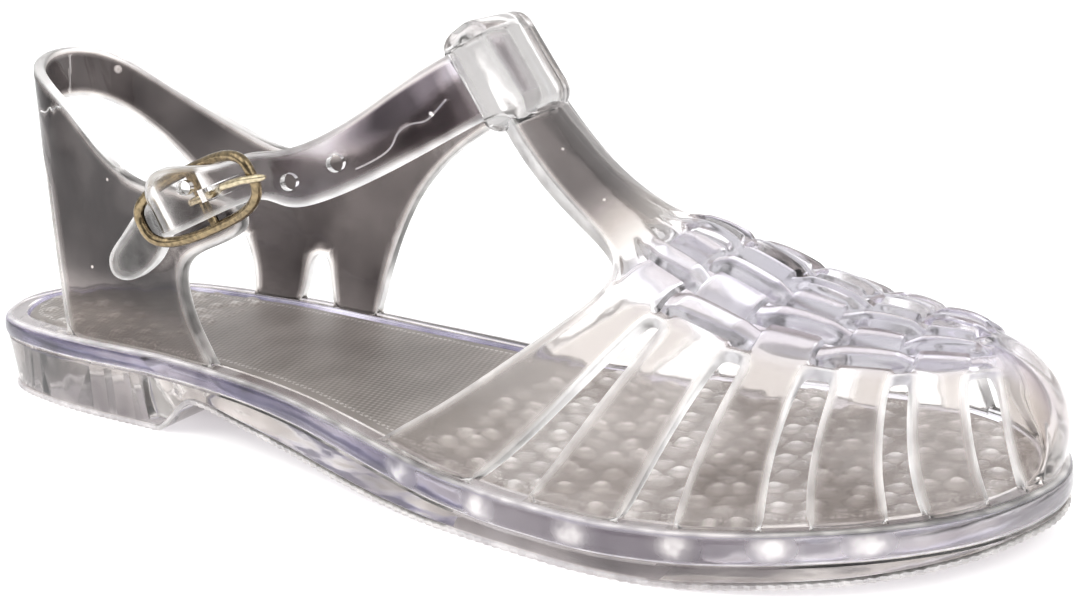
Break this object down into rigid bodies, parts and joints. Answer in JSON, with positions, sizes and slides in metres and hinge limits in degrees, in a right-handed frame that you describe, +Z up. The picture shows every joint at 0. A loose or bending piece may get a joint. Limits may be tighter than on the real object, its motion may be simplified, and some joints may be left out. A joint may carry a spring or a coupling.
{
  "type": "jelly sandal",
  "caption": "Clear moulded closed-toe sandal with a woven-look ribbed vamp, T-bar, sling heel and buckled ankle strap, worn in water or on a beach.",
  "frame": {"origin": "middle of the overall box, on the floor under the shoe", "axes": "+X towards the toe, +Y towards the inner side of the foot, +Z up"},
  "size_m": [0.25, 0.0878, 0.0894],
  "materials": {
    "sole_pvc": "clear moulded soft PVC, violet in thick edges",
    "footbed_pvc": "clear soft PVC with a moulded cross-hatch",
    "clear_pvc": "clear moulded soft PVC, smoky",
    "frame_brass": "polished brass-coloured wire",
    "prong_brass": "polished brass-coloured wire"
  },
  "bodies": {
    "root": {"sole": "sole_pvc", "insole": "footbed_pvc", "upper": "clear_pvc", "buckle_frame": "frame_brass", "buckle_prong": "prong_brass"}
  },
  "joints": []
}
